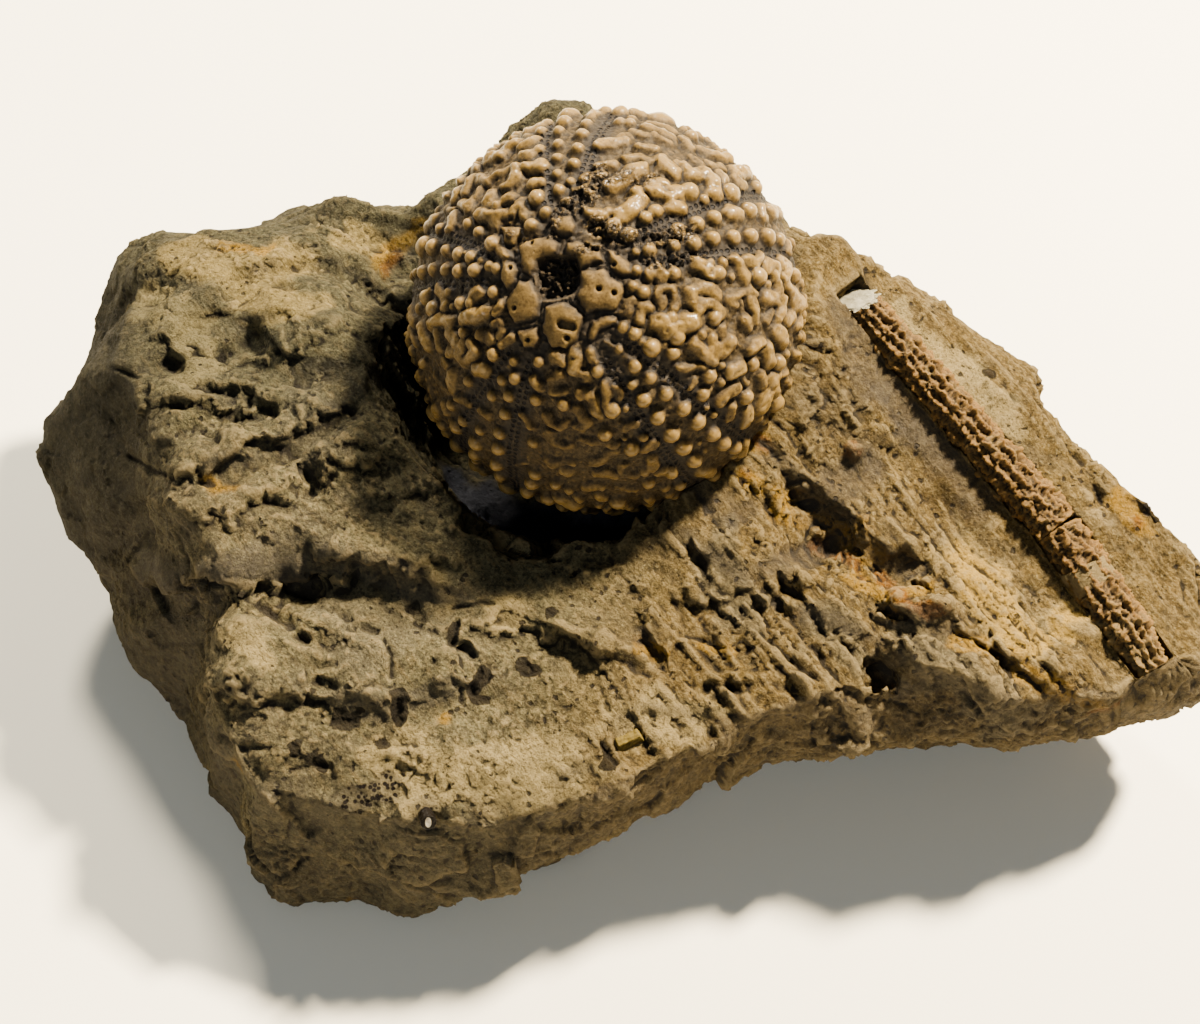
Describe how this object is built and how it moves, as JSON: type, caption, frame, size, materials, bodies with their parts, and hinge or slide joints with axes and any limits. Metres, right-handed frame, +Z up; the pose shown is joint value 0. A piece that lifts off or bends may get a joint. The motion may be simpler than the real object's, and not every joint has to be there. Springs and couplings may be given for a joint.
{
  "type": "fossil sea urchin",
  "caption": "Domed fossil sea urchin with rows of tubercles, seated in a hollow of an irregular limestone block beside a broken fossil spine.",
  "frame": {"origin": "under the middle of the specimen, on the block's flat underside", "axes": "+Z up out of the bed, +X towards the block's narrow end with the spine, +Y towards the back"},
  "size_m": [0.0866, 0.0574, 0.0392],
  "materials": {
    "limestone": "rough marly limestone, grey-beige with ochre stains, broken and pitted",
    "fossil_test": "calcite test, warm grey-brown with a slight gloss on the tubercles",
    "fossil_spine": "brown calcite spine with rows of granules",
    "pale_calcite": "pale broken calcite"
  },
  "bodies": {
    "root": {"limestone_block": "limestone", "urchin_test": "fossil_test", "spine_upper_fragment": "fossil_spine", "spine_lower_fragment": "fossil_spine", "sea_lily_ossicle": "pale_calcite", "calcite_chip": "pale_calcite"}
  },
  "joints": []
}
